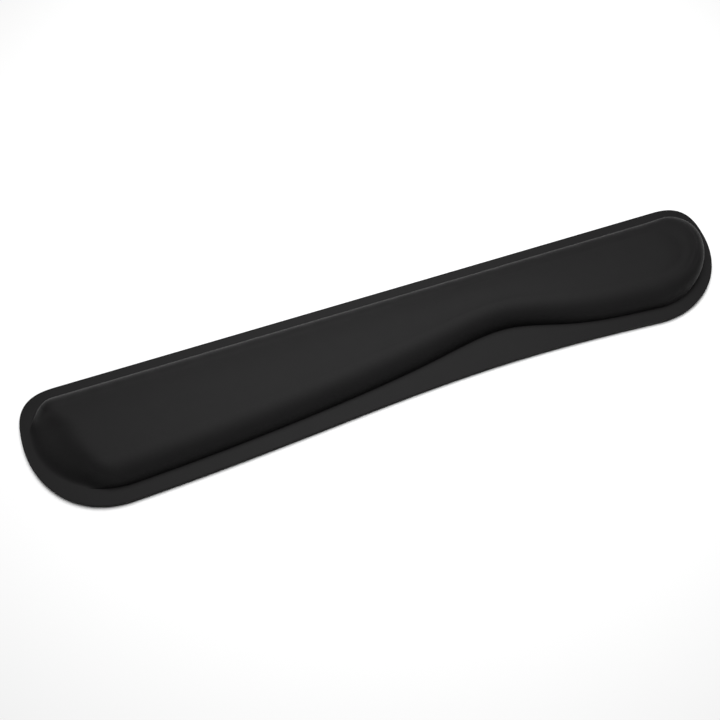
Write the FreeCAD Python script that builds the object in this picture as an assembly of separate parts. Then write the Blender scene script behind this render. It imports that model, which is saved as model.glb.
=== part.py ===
"""Keyboard wrist rest: a gel pad in a knitted cover, on a thin cushioned base that shows as a rim all round.

The frame has its origin under the middle of the base, on the desk. X runs along the rest, +Y points to the
keyboard, -Y to the user, and +Z is up. All sizes are in millimetres.
"""

import FreeCAD
import Part

import math
import os

# ---- driving dimensions -------------------------------------------------------------------------------------
REST_LENGTH = 480.0
REST_WIDTH = 89.2
REST_HEIGHT = 20.0

# Thickness of each layer, from the desk up. The glue ring fills the two films' height outside the gel pouch.
GRIP_THICK = 1.4
BASE_GLUE_THICK = 0.15
FOAM_THICK = 1.0
FILM_THICK = 0.25
COVER_THICK = 0.8

# Outline of the base. The rear edge is straight, and the front edge has one long shallow hollow.
# Corner fullness 2 is a quarter ellipse in plan, more is squarer, and less is cut closer to a diagonal.
BASE_REAR_CORNER = 28.0
BASE_REAR_FULLNESS = 2.85
BASE_FRONT_CORNER = 59.0
BASE_LEFT_FULLNESS = 2.05
BASE_RIGHT_FULLNESS = 1.96
BASE_FRONT_LINE = -46.79
BASE_HOLLOW_DEPTH = 15.9
BASE_HOLLOW_X = 76.0
BASE_HOLLOW_REACH = 181.0

# Foot of the pad: its margins inside the base outline, and the waist in its front edge.
PAD_REAR_MARGIN = 10.2
PAD_LEFT_MARGIN = 5.2
PAD_RIGHT_MARGIN = 6.9
PAD_FRONT_MARGIN = 9.4
PAD_WAIST_DEPTH = 13.3
PAD_WAIST_X = 75.0
PAD_WAIST_LEFT_REACH = 55.0
PAD_WAIST_RIGHT_REACH = 44.0
PAD_LEFT_REAR_CORNER = 16.0
PAD_RIGHT_REAR_CORNER = 20.0
PAD_LEFT_FRONT_CORNER = 57.0
PAD_RIGHT_FRONT_CORNER = 48.0
PAD_REAR_FULLNESS = 2.1
PAD_LEFT_FULLNESS = 1.9
PAD_RIGHT_FULLNESS = 1.78

# How far each wall leans in on its way from the foot up to the top, and the slight crown of the top.
REAR_LEAN = 11.0
LEFT_LEAN = 25.0
RIGHT_LEAN = 22.0
FRONT_LEAN = 17.2
WAIST_LEAN_CUT = 3.0
TOP_LEFT_REAR_CORNER = 6.0
TOP_RIGHT_REAR_CORNER = 16.0
TOP_LEFT_FRONT_CORNER = 40.0
TOP_RIGHT_FRONT_CORNER = 30.0
TOP_FULLNESS = 2.0
TOP_CROWN = 1.0
CROWN_SHARE = 0.85
RIDGE_END = 16.0

# Section of the walls. Fullness 2 is a quarter ellipse, and more makes a steeper wall with a tighter crest.
# Softness 1 is an S-shaped slope, where the cover bridges the foot at the left end.
FRONT_FULLNESS = 2.1
REAR_FULLNESS = 2.8
RIGHT_FULLNESS = 3.4
LEFT_SOFTNESS = 0.95

# The weld lip of the gel pouch, outside the pad's foot.
WELD_LIP = 3.0

# Points along each stretch of an outline, and rings up the wall.
REAR_POINTS = 36
FRONT_POINTS = 36
CORNER_POINTS = 14
WALL_RINGS = 9

# ---- places worked out from them ----------------------------------------------------------------------------
BASE_END = REST_LENGTH / 2
BASE_REAR = REST_WIDTH / 2
PAD_LEFT = -BASE_END + PAD_LEFT_MARGIN
PAD_RIGHT = BASE_END - PAD_RIGHT_MARGIN
PAD_REAR = BASE_REAR - PAD_REAR_MARGIN
TOP_REAR = PAD_REAR - REAR_LEAN

GRIP_TOP = GRIP_THICK
BASE_GLUE_TOP = GRIP_TOP + BASE_GLUE_THICK
FOAM_TOP = BASE_GLUE_TOP + FOAM_THICK
LOWER_FILM_TOP = FOAM_TOP + FILM_THICK
LIP_TOP = LOWER_FILM_TOP + FILM_THICK
RIM_TOP = LIP_TOP + COVER_THICK

# The skins over the gel, measured inwards from the pad's outer surface.
COVER_INSET = COVER_THICK
FILM_INSET = COVER_THICK + FILM_THICK


# ---- outlines -----------------------------------------------------------------------------------------------
def ease(value):
    """0 below 0, 1 above 1, and a smooth step between."""
    value = min(max(value, 0.0), 1.0)
    return value * value * (3 - 2 * value)


def base_front(x):
    """Y of the base's front edge: a straight line less a bell-shaped hollow."""
    return BASE_FRONT_LINE + BASE_HOLLOW_DEPTH * math.exp(-(((x - BASE_HOLLOW_X) / BASE_HOLLOW_REACH) ** 2))


def waist(x):
    """The pad's waist as a share of its deepest: long on the left, short on the right."""
    away = x - PAD_WAIST_X
    if away < 0:
        return 1 / (1 + (away / PAD_WAIST_LEFT_REACH) ** 2)
    return math.exp(-((away / PAD_WAIST_RIGHT_REACH) ** 2))


def pad_front(x):
    """Y of the front edge of the pad's foot."""
    return base_front(x) + PAD_FRONT_MARGIN + PAD_WAIST_DEPTH * waist(x)


def top_front(x):
    """Y of the front edge of the pad's top, where the front wall ends."""
    return pad_front(x) + FRONT_LEAN - WAIST_LEAN_CUT * waist(x)


def corner(turn, fullness):
    """A corner's two shares, from (0, 1) at turn 0 to (1, 0) at turn 1. Fullness 2 is an ellipse."""
    angle = turn * math.pi / 2
    power = 2 / fullness
    return math.sin(angle) ** power, math.cos(angle) ** power


def end_curve(end, side_sign, rear, front):
    """One end of an outline, as its rear corner and its front corner, each a list of points from the tip.

    An end is its tip's x, the lengths of its rear and front corners, and their two fullnesses. The tip lies one
    rear corner in front of the rear edge. side_sign is -1 for the left end and 1 for the right end.
    """
    tip, rear_corner, front_corner, rear_fullness, front_fullness = end
    side = rear - rear_corner
    rear_half = []
    front_half = []
    for i in range(CORNER_POINTS):
        back, out = corner(i / CORNER_POINTS, rear_fullness)
        rear_half.append((tip - side_sign * rear_corner * (1 - out), side + rear_corner * back))
        down, out = corner(i / CORNER_POINTS, front_fullness)
        x = tip - side_sign * front_corner * (1 - out)
        front_half.append((x, side - (side - front(x)) * down))
    return rear_half, front_half


def outline(rear, front, left_end, right_end):
    """Closed outline as plan points, clockwise from the left tip, by the rear edge and then the front edge.

    The rear edge is straight at y = rear, and the front edge follows front(x).
    """
    left_rear, left_front = end_curve(left_end, -1, rear, front)
    right_rear, right_front = end_curve(right_end, 1, rear, front)
    points = list(left_rear)
    first = left_end[0] + left_end[1]
    last = right_end[0] - right_end[1]
    for i in range(REAR_POINTS + 1):
        points.append((first + i / REAR_POINTS * (last - first), rear))
    points += right_rear[:0:-1]
    points += right_front
    first = right_end[0] - right_end[2]
    last = left_end[0] + left_end[2]
    for i in range(FRONT_POINTS + 1):
        x = first + i / FRONT_POINTS * (last - first)
        points.append((x, front(x)))
    points += left_front[:0:-1]
    return points


def moved_in(points, distance):
    """The outline moved inwards along its own normal; a negative distance moves it outwards."""
    moved = []
    for i, (x, y) in enumerate(points):
        before = points[i - 1]
        after = points[(i + 1) % len(points)]
        run_x = after[0] - before[0]
        run_y = after[1] - before[1]
        length = math.hypot(run_x, run_y)
        moved.append((x + distance * run_y / length, y - distance * run_x / length))
    return moved


def ridge_of(points):
    """For each point of the top's outline, the place on the top's middle line that the crown rises to."""
    first = min(x for x, y in points) + RIDGE_END
    last = max(x for x, y in points) - RIDGE_END
    ridge = []
    for x, y in points:
        ridge_x = min(max(x, first), last)
        ridge.append((ridge_x, (TOP_REAR + top_front(ridge_x)) / 2))
    return ridge


BASE_OUTLINE = outline(
    BASE_REAR,
    base_front,
    (-BASE_END, BASE_REAR_CORNER, BASE_FRONT_CORNER, BASE_REAR_FULLNESS, BASE_LEFT_FULLNESS),
    (BASE_END, BASE_REAR_CORNER, BASE_FRONT_CORNER, BASE_REAR_FULLNESS, BASE_RIGHT_FULLNESS),
)
PAD_FOOT = outline(
    PAD_REAR,
    pad_front,
    (PAD_LEFT, PAD_LEFT_REAR_CORNER, PAD_LEFT_FRONT_CORNER, PAD_REAR_FULLNESS, PAD_LEFT_FULLNESS),
    (PAD_RIGHT, PAD_RIGHT_REAR_CORNER, PAD_RIGHT_FRONT_CORNER, PAD_REAR_FULLNESS, PAD_RIGHT_FULLNESS),
)
PAD_TOP = outline(
    TOP_REAR,
    top_front,
    (PAD_LEFT + LEFT_LEAN, TOP_LEFT_REAR_CORNER, TOP_LEFT_FRONT_CORNER, PAD_REAR_FULLNESS, TOP_FULLNESS),
    (PAD_RIGHT - RIGHT_LEAN, TOP_RIGHT_REAR_CORNER, TOP_RIGHT_FRONT_CORNER, PAD_REAR_FULLNESS, TOP_FULLNESS),
)
LIP_OUTLINE = moved_in(PAD_FOOT, -WELD_LIP)


# ---- surfaces and solids ------------------------------------------------------------------------------------
def closed_knots(count):
    """Knots and their multiplicities for a closed smooth curve with that many poles."""
    return list(range(count + 1)), [1] * (count + 1)


def open_knots(count):
    """Knots and their multiplicities for an open smooth curve that starts and ends on its poles."""
    spans = count - 3
    return list(range(spans + 1)), [4] + [1] * (spans - 1) + [4]


def closed_wire(points, z):
    """A smooth closed wire guided by plan points at one height."""
    knots, mults = closed_knots(len(points))
    curve = Part.BSplineCurve()
    curve.buildFromPolesMultsKnots([FreeCAD.Vector(x, y, z) for x, y in points], mults, knots, True, 3)
    return Part.Wire([curve.toShape()])


def sheet(points, low, high):
    """A flat sheet with that outline, between two heights."""
    return Part.Face(closed_wire(points, low)).extrude(FreeCAD.Vector(0, 0, high - low))


def closed_solid(rings):
    """The solid inside a smooth skin guided by rings, with a flat face across the first and last ring."""
    around_knots, around_mults = closed_knots(len(rings[0]))
    up_knots, up_mults = open_knots(len(rings))
    poles = [[ring[i] for ring in rings] for i in reversed(range(len(rings[0])))]
    surface = Part.BSplineSurface()
    surface.buildFromPolesMultsKnots(poles, around_mults, up_mults, around_knots, up_knots, True, False, 3, 3)
    skin = surface.toShape()
    low_z = rings[0][0].z
    high_z = rings[-1][0].z
    foot_edge = [e for e in skin.Edges if abs(e.BoundBox.ZMax - low_z) < 0.01][0]
    top_edge = [e for e in skin.Edges if abs(e.BoundBox.ZMin - high_z) < 0.01][0]
    shell = Part.Shell([skin, Part.Face(Part.Wire([foot_edge])), Part.Face(Part.Wire([top_edge]))])
    shell.sewShape()
    return Part.Solid(shell)


def wall_section(x, y, turn):
    """Shares of the lean and of the height reached at a turn from 0 to 1, for the wall whose foot is at x, y."""
    fullness = FRONT_FULLNESS + (REAR_FULLNESS - FRONT_FULLNESS) * ease((y + 5) / 30)
    fullness += (RIGHT_FULLNESS - fullness) * ease((x - 195) / 30)
    softness = LEFT_SOFTNESS * ease((-212 - x) / 20)
    height, lean = corner(turn, fullness)
    soft_height = (1 - math.cos(math.pi * turn)) / 2
    return (1 - softness) * (1 - lean) + softness * turn, (1 - softness) * height + softness * soft_height


def pad_body(inset, foot_z):
    """The pad as a solid whose skin lies inset inside the cover's outer surface, standing on foot_z.

    Its walls rise from the foot to the top's outline, and the top rises a little more towards its middle line.
    """
    foot = moved_in(PAD_FOOT, inset)
    wall_top = REST_HEIGHT - TOP_CROWN - inset
    ridge = ridge_of(PAD_TOP)
    rings = []
    for k in range(WALL_RINGS + 1):
        ring = []
        for (foot_x, foot_y), (top_x, top_y) in zip(foot, PAD_TOP):
            lean, height = wall_section(foot_x, foot_y, k / WALL_RINGS)
            x = foot_x + lean * (top_x - foot_x)
            y = foot_y + lean * (top_y - foot_y)
            ring.append(FreeCAD.Vector(x, y, foot_z + height * (wall_top - foot_z)))
        rings.append(ring)
    for k in range(1, 5):
        share = k / 4 * CROWN_SHARE
        z = wall_top + TOP_CROWN * (1 - (1 - k / 4) ** 2)
        ring = []
        for (top_x, top_y), (ridge_x, ridge_y) in zip(PAD_TOP, ridge):
            ring.append(FreeCAD.Vector(top_x + share * (ridge_x - top_x), top_y + share * (ridge_y - top_y), z))
        rings.append(ring)
    return closed_solid(rings)


def fabric_cover(dome, hollow):
    """One knitted cover: a dome over the gel, and a flat rim out to the edge of the base."""
    return sheet(BASE_OUTLINE, LIP_TOP, RIM_TOP).fuse(dome).cut(hollow).removeSplitter().Solids[0]


def gel_upper_film(dome, gel):
    """The pouch's formed film: a thin dome over the gel, with a flat lip for the weld."""
    return sheet(LIP_OUTLINE, LOWER_FILM_TOP, LIP_TOP).fuse(dome).cut(gel).removeSplitter().Solids[0]


def cover_glue_ring():
    """Glue between the cover's rim and the foam, from the pouch's lip out to the edge."""
    return sheet(BASE_OUTLINE, FOAM_TOP, LIP_TOP).cut(sheet(LIP_OUTLINE, FOAM_TOP, LIP_TOP)).Solids[0]


def main():
    os.makedirs("parts", exist_ok=True)
    outer = pad_body(0, RIM_TOP)
    under_cover = pad_body(COVER_INSET, LIP_TOP)
    gel = pad_body(FILM_INSET, LOWER_FILM_TOP)
    solids = {
        "grip_base": sheet(BASE_OUTLINE, 0, GRIP_TOP),
        "base_glue_film": sheet(BASE_OUTLINE, GRIP_TOP, BASE_GLUE_TOP),
        "foam_bed": sheet(BASE_OUTLINE, BASE_GLUE_TOP, FOAM_TOP),
        "gel_lower_film": sheet(LIP_OUTLINE, FOAM_TOP, LOWER_FILM_TOP),
        "gel_core": gel,
        "gel_upper_film": gel_upper_film(under_cover, gel),
        "cover_glue_ring": cover_glue_ring(),
        "fabric_cover": fabric_cover(outer, under_cover),
    }
    for name, shape in solids.items():
        box = shape.optimalBoundingBox()
        print(name, shape.ShapeType, len(shape.Solids), shape.isValid(), round(shape.Volume / 1000, 2), "cm3", box)
        shape.exportStep("parts/" + name + ".step")


main()
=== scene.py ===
# %% [markdown]
# # A gel wrist rest in a knitted cover
#
# The rest is a stack of soft layers: a rubber sheet that grips the desk, a thin foam sheet, a sealed
# pouch of gel, and a stretch-knit cover that is pulled down over the pouch and glued flat all round it.
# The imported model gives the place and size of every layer. Here each layer gets its finished surface
# and its material.

# %% Load the frame
from collections import namedtuple

import bpy
import numpy as np
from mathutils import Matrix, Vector


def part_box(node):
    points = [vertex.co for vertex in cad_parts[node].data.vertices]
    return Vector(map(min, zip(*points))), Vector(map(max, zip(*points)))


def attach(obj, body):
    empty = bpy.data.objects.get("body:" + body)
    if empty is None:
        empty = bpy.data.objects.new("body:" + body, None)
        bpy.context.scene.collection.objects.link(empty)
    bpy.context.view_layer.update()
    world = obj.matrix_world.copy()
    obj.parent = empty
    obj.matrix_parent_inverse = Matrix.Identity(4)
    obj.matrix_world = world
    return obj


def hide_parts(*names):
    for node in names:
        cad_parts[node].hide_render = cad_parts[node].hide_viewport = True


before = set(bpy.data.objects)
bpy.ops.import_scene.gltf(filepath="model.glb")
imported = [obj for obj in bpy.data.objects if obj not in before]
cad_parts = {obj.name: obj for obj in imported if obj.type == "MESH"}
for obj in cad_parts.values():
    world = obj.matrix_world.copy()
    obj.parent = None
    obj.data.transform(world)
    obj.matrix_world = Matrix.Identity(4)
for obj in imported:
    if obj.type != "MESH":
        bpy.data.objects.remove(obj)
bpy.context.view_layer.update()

# %% [markdown]
# ## The camera
#
# The camera looks down on the rest steeply from the front left, as a person sitting at the desk would
# lean over it. It comes first so that every later step can be judged in the same view. It is placed by
# two angles and a distance from a point near the middle of the rest, because those are easy to think
# about.

# %% Camera
MM = 0.001
AZIMUTH = np.radians(-18.3)
ELEVATION = np.radians(66.0)
TARGET = np.array([-19.34, 2.5, 0.0]) * MM
DISTANCE = 551.2 * MM
LENS_MM = 41.64
SENSOR_MM = 36.0

camera_data = bpy.data.cameras.new("camera")
camera_data.lens = LENS_MM
camera_data.sensor_width = SENSOR_MM
camera_data.clip_start = 0.01
camera_data.clip_end = 20.0
camera = bpy.data.objects.new("camera", camera_data)
bpy.context.collection.objects.link(camera)
towards_camera = np.array(
    [
        np.sin(AZIMUTH) * np.cos(ELEVATION),
        -np.cos(AZIMUTH) * np.cos(ELEVATION),
        np.sin(ELEVATION),
    ]
)
camera.location = Vector(TARGET + DISTANCE * towards_camera)
camera.rotation_mode = "QUATERNION"
camera.rotation_quaternion = Vector(-towards_camera).to_track_quat("-Z", "Y")
bpy.context.scene.camera = camera
print("camera at", [round(value, 4) for value in camera.location])

# %% [markdown]
# ## Heights and edges taken from the frame
#
# Every layer lies flat on the one below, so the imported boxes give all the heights. The pad's foot is
# where the gel ends, plus the two skins over it.

# %% Heights and edges
grip_low, grip_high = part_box("grip_base")
foam_low, foam_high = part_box("foam_bed")
film_low, film_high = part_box("gel_lower_film")
ring_low, ring_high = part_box("cover_glue_ring")
gel_low, gel_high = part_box("gel_core")
cover_low, cover_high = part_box("fabric_cover")

COVER_THICK = 0.8 * MM
FILM_THICK = film_high[2] - film_low[2]
SKINS = COVER_THICK + FILM_THICK
RIM_TOP = cover_low[2] + COVER_THICK
PAD_HEIGHT = cover_high[2]

BASE_END = grip_high[0]
BASE_REAR = grip_high[1]
PAD_LEFT = gel_low[0] - SKINS
PAD_RIGHT = gel_high[0] + SKINS
PAD_REAR = gel_high[1] + SKINS
print("rim top", round(RIM_TOP / MM, 2), "mm")
print("pad from", round(PAD_LEFT / MM, 1), "to", round(PAD_RIGHT / MM, 1), "mm")

# %% [markdown]
# ## The outline of the base
#
# Seen from above, the base has a straight rear edge against the keyboard and a front edge with one
# long, shallow hollow to the right of the middle. A bell curve describes that hollow in one line. The
# ends are large rounded corners, and a superellipse gives them: an ellipse whose exponent can be raised
# to make it squarer.

# %% Outlines in plan
LONG_POINTS = 300
CORNER_POINTS = 36

FRONT_LINE = -46.79 * MM
HOLLOW_DEPTH = 15.9 * MM
HOLLOW_X = 76.0 * MM
HOLLOW_REACH = 181.0 * MM


def base_front(x):
    """Y of the base's front edge: a straight line less a bell-shaped hollow."""
    return FRONT_LINE + HOLLOW_DEPTH * np.exp(-(((x - HOLLOW_X) / HOLLOW_REACH) ** 2))


def corner_shares(turn, fullness):
    """Superellipse: the two legs are sine and cosine raised to 2 / fullness, as turn goes from 0 to 1."""
    angle = turn * np.pi / 2
    return np.sin(angle) ** (2 / fullness), np.cos(angle) ** (2 / fullness)


# An end of an outline: the x of its tip, and the length and fullness of its rear and front corners.
End = namedtuple("End", "tip rear front rear_fullness front_fullness")


def end_curve(end, x_sign, rear, front):
    """One end of an outline, as its rear corner and its front corner, both starting at the tip.

    The tip lies one rear corner in front of the rear edge.
    """
    side = rear - end.rear
    turn = np.arange(CORNER_POINTS) / CORNER_POINTS
    back, out = corner_shares(turn, end.rear_fullness)
    x = end.tip - x_sign * end.rear * (1 - out)
    rear_half = np.stack([x, side + end.rear * back], axis=1)
    down, out = corner_shares(turn, end.front_fullness)
    x = end.tip - x_sign * end.front * (1 - out)
    front_half = np.stack([x, side - (side - front(x)) * down], axis=1)
    return rear_half, front_half


def outline(rear, front, left_end, right_end):
    """Closed outline, starting at the left tip and going round by the rear edge, then the front edge.

    The rear edge is straight at y = rear, and the front edge follows front(x).
    """
    along = np.arange(LONG_POINTS) / LONG_POINTS
    left_rear, left_front = end_curve(left_end, -1, rear, front)
    right_rear, right_front = end_curve(right_end, 1, rear, front)
    first, last = left_end.tip + left_end.rear, right_end.tip - right_end.rear
    x = first + along * (last - first)
    rear_corner_top = [[last, rear]]
    rear_edge = np.stack([x, np.full_like(x, rear)], axis=1)
    first, last = right_end.tip - right_end.front, left_end.tip + left_end.front
    x = first + along * (last - first)
    front_edge = np.stack([x, front(x)], axis=1)
    right_rear = np.concatenate([rear_corner_top, right_rear[:0:-1]])
    left_front = np.concatenate([[[last, front(last)]], left_front[:0:-1]])
    return np.concatenate([left_rear, rear_edge, right_rear, right_front, front_edge, left_front])


def normals_in(points):
    """Unit vectors in plan that point inwards, which is to the right of an outline's clockwise run."""
    run = np.roll(points, -1, axis=0) - np.roll(points, 1, axis=0)
    run /= np.linalg.norm(run, axis=1)[:, None]
    return np.stack([run[:, 1], -run[:, 0]], axis=1)


base_left = End(-BASE_END, rear=28 * MM, front=59 * MM, rear_fullness=2.85, front_fullness=2.05)
base_right = End(BASE_END, rear=28 * MM, front=59 * MM, rear_fullness=2.85, front_fullness=1.96)
base_outline = outline(BASE_REAR, base_front, base_left, base_right)
print("points round the base:", len(base_outline))

# %% [markdown]
# ## The shape of the pad
#
# The gel was cast in a tray, so the pad has a foot outline, where it meets the base, and a smaller
# outline at the edge of its top. Two parameters describe the whole surface: how far round the outline,
# and how far up. Going up, each point leans in from the foot outline to the top outline on part of an
# ellipse. The rear and right walls are steep with a tight crest, and the front is a wide roll for the
# wrist. At the left end the gel thins out, and the whole surface is scaled down in height there by a
# smooth slope, so the rear wall stays crisp as it runs out.

# %% Pad outlines
FRONT_MARGIN = 9.4 * MM
WAIST_DEPTH = 13.3 * MM
WAIST_X = 75.0 * MM
WAIST_LEFT_REACH = 55.0 * MM
WAIST_RIGHT_REACH = 44.0 * MM
REAR_LEAN = 11.0 * MM
LEFT_LEAN = 8.0 * MM
RIGHT_LEAN = 22.0 * MM
FRONT_LEAN = 17.2 * MM
WAIST_LEAN_CUT = 3.0 * MM


def smooth_step(value):
    """0 below 0, 1 above 1, and the cubic 3v^2 - 2v^3 between."""
    value = np.clip(value, 0, 1)
    return value * value * (3 - 2 * value)


def waist(x):
    """The waist as a share of its deepest, which falls more slowly on the left than on the right.

    With the distance from it measured in reaches, the share is one over one plus the square of the
    distance on the left, and a bell curve on the right.
    """
    away = x - WAIST_X
    left = 1 / (1 + (away / WAIST_LEFT_REACH) ** 2)
    right = np.exp(-((away / WAIST_RIGHT_REACH) ** 2))
    return np.where(away < 0, left, right)


def pad_front(x):
    """Y of the pad's foot along the front: the base's edge, plus a margin, plus the waist."""
    return base_front(x) + FRONT_MARGIN + WAIST_DEPTH * waist(x)


def top_front(x):
    """Y of the front edge of the pad's top: the foot, plus the width of the front roll."""
    return pad_front(x) + FRONT_LEAN - WAIST_LEAN_CUT * waist(x)


print("front of the pad's foot at the waist: y =", round(pad_front(WAIST_X) / MM, 1), "mm")

# %% Foot and top of the pad
foot_left = End(PAD_LEFT, rear=22 * MM, front=57 * MM, rear_fullness=2.1, front_fullness=1.9)
foot_right = End(PAD_RIGHT, rear=20 * MM, front=48 * MM, rear_fullness=2.1, front_fullness=1.78)
pad_foot = outline(PAD_REAR, pad_front, foot_left, foot_right)

top_left = End(PAD_LEFT + LEFT_LEAN, rear=12 * MM, front=46 * MM, rear_fullness=2.1, front_fullness=2.0)
top_right = End(PAD_RIGHT - RIGHT_LEAN, rear=16 * MM, front=30 * MM, rear_fullness=2.1, front_fullness=1.9)
pad_top = outline(PAD_REAR - REAR_LEAN, top_front, top_left, top_right)
foot_inwards = normals_in(pad_foot)
print("pad foot is", round(np.ptp(pad_foot[:, 1]) / MM, 1), "mm wide")

# %% Wall and left slope
WALL_FULLNESS = 2.1
REAR_EXTRA_FULLNESS = 0.7
RIGHT_FULLNESS = 3.4
REAR_FROM = -5 * MM
RIGHT_FROM = 195 * MM
FULLNESS_BLEND = 30 * MM
SLOPE_WIDTH = 36 * MM
SLOPE_REAR_WIDTH = 22 * MM
SLOPE_REAR_FROM = 8 * MM
SLOPE_REAR_BLEND = 20 * MM
SLOPE_START = -186 * MM
SLOPE_BLEND = 20 * MM


def wall_section(x, y, turn):
    """Shares of the lean and of the height at a turn from 0 at the foot to 1 at the top.

    A superellipse gives a crisp wall, squarer at the rear and the right end than along the front.
    """
    fullness = WALL_FULLNESS + REAR_EXTRA_FULLNESS * smooth_step((y - REAR_FROM) / FULLNESS_BLEND)
    fullness = fullness + (RIGHT_FULLNESS - fullness) * smooth_step((x - RIGHT_FROM) / FULLNESS_BLEND)
    height, lean = corner_shares(turn, fullness)
    return 1 - lean, height


def left_slope(x, y):
    """Share of the full height that is left near the left end, where the cover slopes down to the rim.

    With u the distance in x from the end of the foot, over the slope's width, the share is one minus
    the cube of (1 - u) times (1 + 3u). It starts level at the foot, is steepest a third of the way
    along, and runs softly into the top. The slope is shorter at the rear, and a smooth step blends it
    in left of SLOPE_START.
    """
    end = np.concatenate([pad_foot[-CORNER_POINTS:], pad_foot[:1]])
    at_rear = smooth_step((y - SLOPE_REAR_FROM) / SLOPE_REAR_BLEND)
    width = SLOPE_WIDTH + (SLOPE_REAR_WIDTH - SLOPE_WIDTH) * at_rear
    along = np.clip((x - np.interp(y, end[:, 1], end[:, 0])) / width, 0, 1)
    fall = (1 - along) ** 3 * (1 + 3 * along)
    return 1 - fall * smooth_step((SLOPE_START - x) / SLOPE_BLEND)


print("left slope", round(SLOPE_WIDTH / MM), "mm wide in front and", round(SLOPE_REAR_WIDTH / MM), "behind")

# %% Rows of the pad
CROWN = 1.0 * MM
CROWN_SHARE = 0.9
MIDDLE_LEFT = 40 * MM
MIDDLE_RIGHT = 16 * MM


def middle_line(points):
    """For each point of the top's outline, the place half way across the top that the crown rises to."""
    x = np.clip(points[:, 0], points[:, 0].min() + MIDDLE_LEFT, points[:, 0].max() - MIDDLE_RIGHT)
    return np.stack([x, (PAD_REAR - REAR_LEAN + top_front(x)) / 2], axis=1)


def pad_rows(inset, foot_z, wall_turns, crown_steps):
    """Rows of points from the foot to the crown, for a skin that lies inset inside the outer surface.

    The wall is the foot outline carried to the top outline by wall_section. The crown is the top
    outline carried towards the middle line, rising as a parabola that ends level.
    """
    foot = pad_foot + inset * foot_inwards
    wall_top = PAD_HEIGHT - CROWN - inset
    lean, height = wall_section(foot[None, :, 0], foot[None, :, 1], wall_turns[:, None])
    plan = foot[None] + lean[..., None] * (pad_top - foot)[None]
    wall = np.concatenate([plan, (foot_z + height * (wall_top - foot_z))[..., None]], axis=2)
    step = crown_steps[:, None, None]
    plan = pad_top[None] + CROWN_SHARE * step * (middle_line(pad_top) - pad_top)[None]
    rise = np.broadcast_to(wall_top + CROWN * (1 - (1 - step) ** 2), (*plan.shape[:2], 1))
    rows = np.concatenate([wall, np.concatenate([plan, rise], axis=2)])
    rows[..., 2] = foot_z + (rows[..., 2] - foot_z) * left_slope(rows[..., 0], rows[..., 1])
    return rows


# %% [markdown]
# ## From rows of points to a closed mesh
#
# Every piece here is a stack of closed rows. One helper joins each row to the next with quads, and
# closes the first and last row with rungs from the rear side to the front side. That keeps one
# watertight mesh with tidy faces, and the same helper serves thin sheets and tall domes.

# %% Mesh helpers
def side_quads(rows, wrap):
    """Quads between neighbouring rows, and with wrap also between the last row and the first."""
    row_count, around = rows.shape[:2]
    here = np.arange(row_count * around).reshape(row_count, around)
    below = np.roll(here, -1, axis=0)
    if not wrap:
        here, below = here[:-1], below[:-1]
    corners = [here, np.roll(here, -1, axis=1), np.roll(below, -1, axis=1), below]
    return np.stack(corners, axis=-1).reshape(-1, 4).tolist()


def end_rungs(rows):
    """Faces that close the first row, looking up, and the last row, looking down.

    Point k and point -k of a row face each other across the rest, so each face is a rung between them.
    """
    row_count, around = rows.shape[:2]
    middle = around // 2
    k = np.arange(1, middle - 1)
    up = np.stack([k, around - k, around - k - 1, k + 1], axis=1)
    last = (row_count - 1) * around
    tips = [[0, around - 1, 1], [middle - 1, middle + 1, middle]]
    tips += [[last + 1, last + around - 1, last], [last + middle, last + middle + 1, last + middle - 1]]
    return up.tolist() + (last + up[:, ::-1]).tolist() + tips


def grid_mesh(name, rows, weave=None, ring=False):
    """A closed mesh from an array of rows x points x 3, whose rows run outwards on top and back below.

    A solid is closed by rungs at its first and last row, and a ring by joining its last row to its
    first.
    """
    faces = side_quads(rows, ring) + ([] if ring else end_rungs(rows))
    mesh = bpy.data.meshes.new(name)
    mesh.from_pydata(rows.reshape(-1, 3).tolist(), [], faces)
    if weave is not None:
        layer = mesh.attributes.new("weave", "FLOAT_VECTOR", "POINT")
        layer.data.foreach_set("vector", weave.reshape(-1).astype(np.float32))
    mesh.shade_smooth()
    mesh.update()
    return add_piece(name, mesh)


def add_piece(name, mesh):
    """Puts a mesh into the scene as a piece that rides on the rest's one body."""
    piece = bpy.data.objects.new(name, mesh)
    bpy.context.collection.objects.link(piece)
    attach(piece, "root")
    print(name, "has", len(mesh.polygons), "faces")
    return piece


def flat_row(points, z):
    """One row: the plan points, all at height z."""
    return np.concatenate([points, np.full((len(points), 1), z)], axis=1)


EDGE_STEPS = 4


def sheet_rows(points, low, high, edge):
    """Rows round a sheet's edge: a quarter circle of radius edge out from its top, and one back below."""
    inwards = normals_in(points)
    turn = np.linspace(0, np.pi / 2, EDGE_STEPS)
    shares = list(zip(edge * (1 - np.sin(turn)), edge * (1 - np.cos(turn))))
    top = [flat_row(points + first * inwards, high - second) for first, second in shares]
    bottom = [flat_row(points + second * inwards, low + first) for first, second in shares]
    return np.stack(top + bottom)


# %% [markdown]
# ## Materials
#
# Everything that shows is nearly black, so the materials differ in how they scatter light and in their
# fine relief. A node material can work those out from the position on the piece, with no picture files.
# A few helpers keep each material down to a handful of lines.

# %% Material helpers
def new_material(name, colour, roughness, specular):
    """A node material with its shader, and a list of its nodes and links to build on."""
    material = bpy.data.materials.new(name)
    material.use_nodes = True
    nodes, links = material.node_tree.nodes, material.node_tree.links
    shader = nodes["Principled BSDF"]
    shader.inputs["Base Color"].default_value = (*colour, 1)
    shader.inputs["Roughness"].default_value = roughness
    shader.inputs["Specular IOR Level"].default_value = specular
    return material, nodes, links, shader


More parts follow.
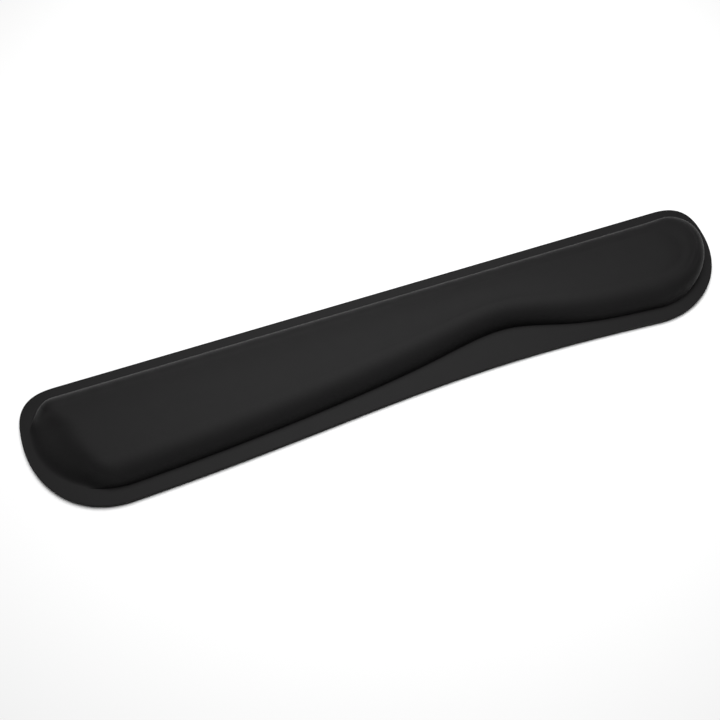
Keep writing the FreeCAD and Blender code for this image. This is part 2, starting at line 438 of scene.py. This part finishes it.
def math_node(nodes, links, operation, first, second=None):
    """A maths node on one or two inputs, each a socket or a number."""
    node = nodes.new("ShaderNodeMath")
    node.operation = operation
    for place, value in enumerate([first, second]):
        if value is None:
            continue
        if isinstance(value, (int, float)):
            node.inputs[place].default_value = value
        else:
            links.new(value, node.inputs[place])
    return node.outputs[0]


def noise(nodes, links, size, detail):
    """Cloudy noise whose blobs are about size metres across, read from the piece's own coordinates."""
    place = nodes.new("ShaderNodeTexCoord")
    node = nodes.new("ShaderNodeTexNoise")
    node.inputs["Scale"].default_value = 1 / size
    node.inputs["Detail"].default_value = detail
    links.new(place.outputs["Object"], node.inputs["Vector"])
    return node.outputs["Fac"]


def tint(nodes, links, amount, dark, light):
    """A colour between dark and light, by an amount from 0 to 1. Each is three numbers or a socket."""
    node = nodes.new("ShaderNodeMix")
    node.data_type = "RGBA"
    links.new(amount, node.inputs["Factor"])
    for name, colour in (("A", dark), ("B", light)):
        if isinstance(colour, tuple):
            node.inputs[name].default_value = (*colour, 1)
        else:
            links.new(colour, node.inputs[name])
    return node.outputs["Result"]


def between(nodes, links, amount, low, high):
    """A number between low and high, by an amount from 0 to 1."""
    node = nodes.new("ShaderNodeMapRange")
    links.new(amount, node.inputs["Value"])
    node.inputs["To Min"].default_value = low
    node.inputs["To Max"].default_value = high
    return node.outputs["Result"]


def cell_noise(nodes, links, size):
    """Distance to the nearest of many scattered centres about size metres apart: 0 at each centre."""
    place = nodes.new("ShaderNodeTexCoord")
    node = nodes.new("ShaderNodeTexVoronoi")
    node.inputs["Scale"].default_value = 1 / size
    links.new(place.outputs["Object"], node.inputs["Vector"])
    return node.outputs["Distance"]


def relief(nodes, links, shader, height, depth):
    """Bumps the shader's surface by a height from 0 to 1 that stands for depth metres."""
    node = nodes.new("ShaderNodeBump")
    node.inputs["Distance"].default_value = depth
    links.new(height, node.inputs["Height"])
    links.new(node.outputs["Normal"], shader.inputs["Normal"])


def finish(piece, material, node=None):
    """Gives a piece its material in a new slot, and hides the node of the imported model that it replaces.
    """
    piece.data.materials.append(material)
    if node is not None:
        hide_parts(node)


# %% [markdown]
# ## The grip sheet
#
# The rest stands on a thin sheet of foamed rubber that keeps it from sliding. Its underside is moulded
# with rows of small round studs. They could be a bump in the material, but real studs catch light at
# their edges and show in the outline, so each is a small dome of its own. There are over a thousand, so
# each has only a few faces.

# %% Rubber material
def rubber_material():
    """Matte black foamed rubber: fine pebbled relief, and grey bloom that comes and goes in soft clouds."""
    material, nodes, links, shader = new_material(
        "foamed_rubber", colour=(0.025, 0.025, 0.025), roughness=0.8, specular=0.3
    )
    bloom = noise(nodes, links, size=22 * MM, detail=4.0)
    shade = tint(nodes, links, bloom, dark=(0.018, 0.018, 0.018), light=(0.034, 0.034, 0.033))
    links.new(shade, shader.inputs["Base Color"])
    links.new(between(nodes, links, bloom, low=0.7, high=0.9), shader.inputs["Roughness"])
    pebbles = noise(nodes, links, size=0.7 * MM, detail=2.0)
    relief(nodes, links, shader, pebbles, depth=0.06 * MM)
    return material


rubber = rubber_material()

# %% Grip sheet
STUD_HEIGHT = 0.3 * MM
GRIP_EDGE = 0.3 * MM

base_inwards = normals_in(base_outline)
grip_rows = sheet_rows(base_outline, grip_low[2] + STUD_HEIGHT, grip_high[2], GRIP_EDGE)
grip_sheet = grid_mesh("grip_sheet", grip_rows)
finish(grip_sheet, rubber, "grip_base")

# %% Grip studs
STUD_PITCH = 6.0 * MM
STUD_RADIUS = 1.1 * MM
STUD_MARGIN = 4.5 * MM
STUD_SIDES = 10
STUD_DEPTHS = (0.0, 0.18, 0.35)  # in half turns
STUD_RINGS = len(STUD_DEPTHS)
COLUMNS_EACH_WAY = 42
ROWS_EACH_WAY = 9


def stud_centres():
    """Plan places of the studs: a honeycomb, less those that fall nearer the edge than the margin.

    The nearest point of the outline and its inward normal tell how far inside a place is.
    """
    row_gap = STUD_PITCH * np.sqrt(3) / 2
    column_numbers = np.arange(-COLUMNS_EACH_WAY, COLUMNS_EACH_WAY + 1)
    row_numbers = np.arange(-ROWS_EACH_WAY, ROWS_EACH_WAY + 1)
    columns, rows = np.meshgrid(column_numbers, row_numbers)
    places = np.stack([(columns + 0.5 * (rows % 2)) * STUD_PITCH, rows * row_gap], axis=-1).reshape(-1, 2)
    gaps = places[:, None] - base_outline[None]
    nearest = np.argmin((gaps**2).sum(axis=2), axis=1)
    offset = gaps[np.arange(len(places)), nearest]
    inside = (offset * base_inwards[nearest]).sum(axis=1)
    return places[inside > STUD_MARGIN]


def stud_faces(start):
    """One dome's faces: a flat lid, quads between its rings, and triangles to its lowest point."""
    ring = np.arange(STUD_SIDES)
    beside = (ring + 1) % STUD_SIDES
    faces = [(start + ring).tolist()]
    for level in range(STUD_RINGS - 1):
        upper, lower = start + level * STUD_SIDES, start + (level + 1) * STUD_SIDES
        faces += np.stack([lower + ring, lower + beside, upper + beside, upper + ring], axis=1).tolist()
    last = start + (STUD_RINGS - 1) * STUD_SIDES
    pole = np.full(STUD_SIDES, start + STUD_RINGS * STUD_SIDES)
    return faces + np.stack([pole, last + beside, last + ring], axis=1).tolist()


def stud_mesh():
    """All the studs as half domes: a ring's radius is the cosine of its angle, and its depth the sine."""
    turn = 2 * np.pi * np.arange(STUD_SIDES) / STUD_SIDES
    depth = np.array(STUD_DEPTHS) * np.pi
    radius = STUD_RADIUS * np.cos(depth)[:, None]
    below = np.broadcast_to(-STUD_HEIGHT * np.sin(depth)[:, None], (STUD_RINGS, STUD_SIDES))
    dome = np.stack([radius * np.cos(turn), radius * np.sin(turn), below], axis=-1).reshape(-1, 3)
    dome = np.concatenate([dome, [[0, 0, -STUD_HEIGHT]]])
    places = stud_centres()
    centres = np.concatenate([places, np.full((len(places), 1), grip_low[2] + STUD_HEIGHT)], axis=1)
    points = (centres[:, None] + dome[None]).reshape(-1, 3)
    faces = [face for start in range(0, len(points), len(dome)) for face in stud_faces(start)]
    mesh = bpy.data.meshes.new("grip_studs")
    mesh.from_pydata(points.tolist(), [], faces)
    mesh.shade_smooth()
    print("studs:", len(places))
    return mesh


grip_studs = add_piece("grip_studs", stud_mesh())
finish(grip_studs, rubber)

# %% [markdown]
# ## Glue
#
# Black hot-melt glue joins the layers. It shows only as a thin line in the edge, a little inside the
# sheets that it joins and a little shinier than they are. The sheet of glue over the rubber is whole.
# The one under the cover's rim is a ring, because the gel pouch fills the middle.

# %% Glue layers
GLUE_SETBACK = 0.22 * MM
GLUE_EDGE = 0.06 * MM
LIP_WIDTH = 3.0 * MM


def glue_material():
    """Black hot-melt: smooth and half glossy, with faint lumps where it was squeezed out."""
    material, nodes, links, shader = new_material(
        "hot_melt", colour=(0.02, 0.02, 0.021), roughness=0.4, specular=0.5
    )
    lumps = noise(nodes, links, size=2.5 * MM, detail=2.0)
    shade = tint(nodes, links, lumps, dark=(0.014, 0.014, 0.015), light=(0.026, 0.026, 0.027))
    links.new(shade, shader.inputs["Base Color"])
    links.new(between(nodes, links, lumps, low=0.32, high=0.5), shader.inputs["Roughness"])
    relief(nodes, links, shader, lumps, depth=0.08 * MM)
    return material


glue = glue_material()
glue_outline = base_outline + GLUE_SETBACK * base_inwards
lip_outline = pad_foot - LIP_WIDTH * foot_inwards

base_glue = grid_mesh("base_glue", sheet_rows(glue_outline, grip_high[2], foam_low[2], GLUE_EDGE))
finish(base_glue, glue, "base_glue_film")

ring_rows = np.concatenate(
    [
        [flat_row(lip_outline, ring_high[2])],
        sheet_rows(glue_outline, ring_low[2], ring_high[2], GLUE_EDGE),
        [flat_row(lip_outline, ring_low[2])],
    ]
)
rim_glue = grid_mesh("rim_glue", ring_rows, ring=True)
finish(rim_glue, glue, "cover_glue_ring")

# %% [markdown]
# ## The foam sheet
#
# A thin sheet of closed-cell foam carries the pouch and gives the rim its body. The die that cuts it
# drags its edge into a slight bulge, and the cut opens the cells, so its relief is fine round pits.

# %% Foam sheet
FOAM_EDGE = 0.42 * MM
FOAM_SETBACK = 0.08 * MM


def foam_material():
    """Black closed-cell foam: pits from cell noise, which is lowest at the centre of each pit."""
    material, nodes, links, shader = new_material(
        "cell_foam", colour=(0.02, 0.02, 0.02), roughness=0.85, specular=0.25
    )
    cells = cell_noise(nodes, links, size=0.45 * MM)
    cloud = noise(nodes, links, size=9 * MM, detail=3.0)
    shade = tint(nodes, links, cloud, dark=(0.016, 0.016, 0.016), light=(0.027, 0.027, 0.027))
    links.new(shade, shader.inputs["Base Color"])
    links.new(between(nodes, links, cells, low=0.92, high=0.75), shader.inputs["Roughness"])
    relief(nodes, links, shader, cells, depth=0.12 * MM)
    return material


foam_outline = base_outline + FOAM_SETBACK * base_inwards
foam_sheet = grid_mesh("foam_sheet", sheet_rows(foam_outline, foam_low[2], foam_high[2], FOAM_EDGE))
finish(foam_sheet, foam_material(), "foam_bed")

# %% [markdown]
# ## The gel pouch
#
# The gel was cast as one soft block and sealed between two films: a flat one below and a formed one
# above, welded together in a flat lip outside the foot. The same function that gives the cover's shape
# gives the gel and the formed film, each one skin further in, so the layers nest with nothing to fit by
# eye.

# %% Gel and film materials
def gel_material():
    """Soft clear gel: a pale blue-grey with clouds of fine bubbles, and a wet surface."""
    material, nodes, links, shader = new_material(
        "soft_gel", colour=(0.16, 0.2, 0.24), roughness=0.15, specular=0.5
    )
    bubbles = noise(nodes, links, size=4 * MM, detail=5.0)
    shade = tint(nodes, links, bubbles, dark=(0.13, 0.17, 0.21), light=(0.2, 0.24, 0.28))
    links.new(shade, shader.inputs["Base Color"])
    shader.inputs["Subsurface Weight"].default_value = 0.3
    shader.inputs["Subsurface Scale"].default_value = 5 * MM
    relief(nodes, links, shader, bubbles, depth=0.05 * MM)
    return material


def film_material():
    """Grey elastomer film: smooth, with faint clouds in its shade and gloss left by forming."""
    material, nodes, links, shader = new_material(
        "pouch_film", colour=(0.1, 0.1, 0.11), roughness=0.3, specular=0.5
    )
    clouds = noise(nodes, links, size=6 * MM, detail=3.0)
    shade = tint(nodes, links, clouds, dark=(0.085, 0.085, 0.095), light=(0.115, 0.115, 0.125))
    links.new(shade, shader.inputs["Base Color"])
    links.new(between(nodes, links, clouds, low=0.22, high=0.4), shader.inputs["Roughness"])
    relief(nodes, links, shader, clouds, depth=0.05 * MM)
    return material


film = film_material()

# %% Gel and films
FILM_EDGE = 0.1 * MM
SKIN_STEPS = 24
INNER_CROWN_STEPS = 10

skin_turns = np.linspace(0, 1, SKIN_STEPS)
skin_crown = np.linspace(0, 1, INNER_CROWN_STEPS + 1)[1:]

lower_film = grid_mesh("lower_film", sheet_rows(lip_outline, film_low[2], film_high[2], FILM_EDGE))
finish(lower_film, film, "gel_lower_film")

gel_pad = grid_mesh("gel_pad", pad_rows(SKINS, gel_low[2], skin_turns, skin_crown)[::-1])
finish(gel_pad, gel_material(), "gel_core")

film_rows = np.concatenate(
    [
        pad_rows(COVER_THICK, ring_high[2], skin_turns, skin_crown)[::-1],
        sheet_rows(lip_outline, film_high[2], ring_high[2], FILM_EDGE),
        pad_rows(SKINS, film_high[2], skin_turns, skin_crown),
    ]
)
upper_film = grid_mesh("upper_film", film_rows)
finish(upper_film, film, "gel_upper_film")

# %% [markdown]
# ## Stretch knit
#
# The cover is a fine black stretch knit. A plain knit shows columns of V-shaped stitches under a glass.
# A ridge along each column gives the columns, and a sine wave, whose phase slides with the distance
# from the column's middle, gives the slanting legs. The pattern reads the weave attribute, which
# measures along the cloth, so it follows the cloth up the walls. Along the steep rear and right crests
# the colour is painted paler, as a painted highlight, and a point attribute says where. A weak sheen
# lobe stands for the loose fibre ends.

# %% Knit material
WALE = 0.55 * MM
COURSE = 0.45 * MM
RIDGE_HEIGHT = 0.75
LEG_HEIGHT = 0.25
COLUMN_MIDDLE = 0.5
# Colour of the painted highlight on the rear and right crests.
HIGHLIGHT_PAINT = (0.034, 0.0335, 0.034)


def knit_height(nodes, links):
    """Stitch height from 0 to 1: a ridge that falls evenly from each column's middle, plus slanted sines."""
    place = nodes.new("ShaderNodeAttribute")
    place.attribute_name = "weave"
    split = nodes.new("ShaderNodeSeparateXYZ")
    links.new(place.outputs["Vector"], split.inputs[0])
    column = math_node(nodes, links, "FRACT", math_node(nodes, links, "DIVIDE", split.outputs["X"], WALE))
    aside = math_node(nodes, links, "ABSOLUTE", math_node(nodes, links, "SUBTRACT", column, COLUMN_MIDDLE))
    along = math_node(nodes, links, "DIVIDE", split.outputs["Y"], COURSE)
    phase = math_node(nodes, links, "MULTIPLY", math_node(nodes, links, "ADD", along, aside), 2 * np.pi)
    wave = math_node(nodes, links, "MULTIPLY", math_node(nodes, links, "SINE", phase), LEG_HEIGHT)
    ridge = math_node(nodes, links, "SUBTRACT", RIDGE_HEIGHT, aside)
    return math_node(nodes, links, "ADD", wave, ridge)


def knit_material():
    """Black elastic knit: stitch relief, faint cloudy shade, weak sheen, and a painted highlight on crests.
    """
    material, nodes, links, shader = new_material(
        "stretch_knit", colour=(0.0075, 0.0073, 0.0075), roughness=0.62, specular=0.13
    )
    shader.inputs["Sheen Weight"].default_value = 0.08
    shader.inputs["Sheen Roughness"].default_value = 0.25
    cloud = noise(nodes, links, size=14 * MM, detail=3.0)
    knit_tone = tint(nodes, links, cloud, dark=(0.0070, 0.0068, 0.0070), light=(0.0085, 0.0082, 0.0084))
    # Painted highlight: the colour is mixed towards a paler grey along the rear and right crests.
    painted_highlight = nodes.new("ShaderNodeAttribute")
    painted_highlight.attribute_name = "painted_highlight"
    knit_colour = tint(nodes, links, painted_highlight.outputs["Fac"], dark=knit_tone, light=HIGHLIGHT_PAINT)
    links.new(knit_colour, shader.inputs["Base Color"])
    relief(nodes, links, shader, knit_height(nodes, links), depth=0.05 * MM)
    return material


knit = knit_material()

# %% [markdown]
# ## The knitted cover
#
# The cover is one cloth, so it is one mesh: the top, the wall, the crease at the foot, the flat rim,
# its cut edge, and back along the inside. A cloth can't fold as sharply as the gel's foot, so a small
# rounded fill is added at the crease.

# %% Rows of the cover
CROWN_STEPS = 26
WALL_STEPS = 40
WALL_CROWDING = 1.25
RIM_STEPS = 14
RIM_CROWDING = 1.6
INSIDE_STEPS = 16
EDGE_ROUND = 0.35 * MM


def cover_rows():
    """The cover's rows, outside from the crown to the rim's edge, then inside back to the crown.

    The rim's points share the way from the foot outline to the base outline.
    """
    turns = np.linspace(0, 1, WALL_STEPS) ** WALL_CROWDING
    outside = pad_rows(0, RIM_TOP, turns, np.linspace(0, 1, CROWN_STEPS + 1)[1:])[::-1]
    shares = np.linspace(0, 1, RIM_STEPS)[1:] ** RIM_CROWDING
    rim_edge = base_outline + EDGE_ROUND * normals_in(base_outline)
    rim = np.stack([flat_row(pad_foot + share * (rim_edge - pad_foot), RIM_TOP) for share in shares])
    edge = sheet_rows(base_outline, ring_high[2], RIM_TOP, EDGE_ROUND)[1:]
    inside_turns = np.linspace(0, 1, INSIDE_STEPS)
    inside = pad_rows(COVER_THICK, ring_high[2], inside_turns, skin_crown)
    return outside, rim, edge, inside


outside, rim, edge, inside = cover_rows()
print("rows outside, on the rim, round its edge and inside:", len(outside), len(rim), len(edge), len(inside))

# %% Lines where the cloth pulls
GROOVE_PLACES = (8.0 * MM, 11.5 * MM)
GROOVE_WIDTH = 1.3 * MM
GROOVE_DEPTH = 0.28 * MM
FACING_RIGHT_FROM = 0.5
FACING_RIGHT_BLEND = 0.3
FACING_REAR_END = 0.3
FACING_REAR_BLEND = 0.4
RIPPLE_HEIGHT = 0.14 * MM
RIPPLE_LENGTH = 19 * MM
RIPPLE_GROUP = 67 * MM
RIPPLE_SLANT = 0.6
RIPPLE_Y = 28 * MM
RIPPLE_REACH = 5 * MM
PULL_FADE = 3 * MM


def pull_lines(rows):
    """Height that the cloth's tension adds: grooves inside the right crest, and ripples along the rear.

    Each groove is a bell curve of the distance in from the foot. The ripples are the product of two
    sines along the rest, times a bell curve across the crest. All fade to nothing at the foot.
    """
    x, y = rows[..., 0], rows[..., 1]
    inward = np.linalg.norm(rows[..., :2] - pad_foot[None], axis=2)
    outwards = -foot_inwards
    facing_right = smooth_step((outwards[:, 0] - FACING_RIGHT_FROM) / FACING_RIGHT_BLEND)
    not_rear = smooth_step((FACING_REAR_END - outwards[:, 1]) / FACING_REAR_BLEND)
    at_right = facing_right * not_rear
    grooves = sum(np.exp(-(((inward - place) / GROOVE_WIDTH) ** 2)) for place in GROOVE_PLACES)
    ripples = np.sin(2 * np.pi * (x + RIPPLE_SLANT * y) / RIPPLE_LENGTH)
    ripples = ripples * np.sin(2 * np.pi * x / RIPPLE_GROUP)
    at_crest = np.exp(-(((y - RIPPLE_Y) / RIPPLE_REACH) ** 2))
    above_foot = smooth_step((rows[..., 2] - RIM_TOP) / PULL_FADE)
    return above_foot * (RIPPLE_HEIGHT * ripples * at_crest - GROOVE_DEPTH * at_right[None] * grooves)


pulls = pull_lines(outside)
outside[..., 2] += pulls
print("the pull lines run from", round(pulls.min() / MM, 2), "to", round(pulls.max() / MM, 2), "mm")

# %% Crease at the foot
CREASE_FILL = 0.35 * MM
CREASE_REACH = 0.9 * MM
STEEP_ROWS = 8
STEEP_RISE = 3.0 * MM


def fill_crease(rows, foot_row):
    """Lifts the rows near the foot by a bell curve of the distance along the section from the foot.

    The fill grows with the rise of the wall's first steps, so it fades where the wall starts softly.
    """
    steps = np.linalg.norm(np.diff(rows, axis=0), axis=2)
    distance = np.concatenate([np.zeros((1, rows.shape[1])), np.cumsum(steps, axis=0)])
    distance = distance - distance[foot_row]
    steepness = smooth_step((rows[foot_row - STEEP_ROWS, :, 2] - rows[foot_row, :, 2]) / STEEP_RISE)
    rows[..., 2] += steepness * CREASE_FILL * np.exp(-((distance / CREASE_REACH) ** 2))
    return rows


upper = fill_crease(np.concatenate([outside, rim]), len(outside) - 1)
cover_grid = np.concatenate([upper, edge, inside])
print("the cover has", cover_grid.shape[0], "rows of", cover_grid.shape[1], "points")

# %% Weave of the cover
def weave_places(rows, top_row):
    """Each point's place on the flat cloth: its plan place on top, then out by the length of cloth."""
    steps = np.linalg.norm(np.diff(rows, axis=0), axis=2)
    length = np.concatenate([np.zeros((1, rows.shape[1])), np.cumsum(steps, axis=0)])
    beyond = np.maximum(length - length[top_row], 0)
    outwards = -normals_in(pad_top)
    start = np.where((np.arange(len(rows)) < top_row)[:, None, None], rows[..., :2], rows[top_row, :, :2])
    plan = start + beyond[..., None] * outwards[None]
    return np.concatenate([plan, np.zeros_like(plan[..., :1])], axis=2)


cover = grid_mesh("knit_cover", cover_grid, weave_places(cover_grid, CROWN_STEPS))

# %% Painted highlight on the cover's crests
HIGHLIGHT_START = np.radians(2)
HIGHLIGHT_FULL = np.radians(65)
HIGHLIGHT_TURN = 0.6
HIGHLIGHT_LEFT = -223 * MM
HIGHLIGHT_FADE = 8 * MM


def highlight_shares(rows):
    """Share of the painted highlight on the crests, from 0 to 1.

    It grows with the wall's steepness, from the start angle to the full angle, where the wall faces the
    rear or the right end. It fades where the cover slopes down at the left end.
    """
    drop = -np.gradient(rows[..., 2], axis=0)
    run = np.linalg.norm(np.gradient(rows[..., :2], axis=0), axis=2)
    steepness = smooth_step((np.arctan2(drop, run) - HIGHLIGHT_START) / (HIGHLIGHT_FULL - HIGHLIGHT_START))
    facing = -normals_in(pad_top).sum(axis=1)
    clear_of_left = smooth_step((rows[..., 0] - HIGHLIGHT_LEFT) / HIGHLIGHT_FADE)
    return steepness * smooth_step(facing / HIGHLIGHT_TURN)[None] * clear_of_left


# The painted highlight's share is stored on the cover's points, for the knit material to read.
highlight_values = np.zeros(cover_grid.shape[:2])
highlight_values[: len(outside)] = highlight_shares(outside)
highlight_layer = cover.data.attributes.new("painted_highlight", "FLOAT", "POINT")
highlight_layer.data.foreach_set("value", highlight_values.ravel())
print("points with some stretch:", np.count_nonzero(highlight_values))
finish(cover, knit, "fabric_cover")

# %% [markdown]
# ## Floor, light and sky
#
# The floor is a plain white sheet. One soft lamp hangs over the middle of the rest, a little to the
# rear. It leaves both end slopes and the front roll in shade, which is what shows a black object's
# form. A weak white sky fills in the shadows.

# %% Floor
FLOOR_REACH = 3.0
FLOOR_WHITE = (0.85, 0.85, 0.85)

floor_mesh = bpy.data.meshes.new("floor")
corners = [(FLOOR_REACH * x, FLOOR_REACH * y, 0) for x, y in ((-1, -1), (1, -1), (1, 1), (-1, 1))]
floor_mesh.from_pydata(corners, [], [(0, 1, 2, 3)])
floor_paint = new_material("floor", FLOOR_WHITE, roughness=0.9, specular=0.1)[0]
floor_mesh.materials.append(floor_paint)
floor = bpy.data.objects.new("floor", floor_mesh)
bpy.context.collection.objects.link(floor)
print("floor", 2 * FLOOR_REACH, "m across")

# %% Lamp and sky
LAMP_PLACE = (0.04, 0.14, 0.8)
LAMP_SIZE = 0.6
LAMP_WATTS = 10.5
SKY = 0.06

lamp_data = bpy.data.lights.new("main_lamp", "AREA")
lamp_data.size = LAMP_SIZE
lamp_data.energy = LAMP_WATTS
lamp = bpy.data.objects.new("main_lamp", lamp_data)
bpy.context.collection.objects.link(lamp)
lamp.location = LAMP_PLACE
lamp.rotation_mode = "QUATERNION"
lamp.rotation_quaternion = (-Vector(LAMP_PLACE)).to_track_quat("-Z", "Y")

world = bpy.data.worlds.new("sky")
bpy.context.scene.world = world
world.use_nodes = True
background = world.node_tree.nodes["Background"]
background.inputs["Color"].default_value = (1, 1, 1, 1)
background.inputs["Strength"].default_value = SKY
bpy.context.scene.view_settings.view_transform = "Standard"
print("lamp", LAMP_WATTS, "W, sky", SKY)
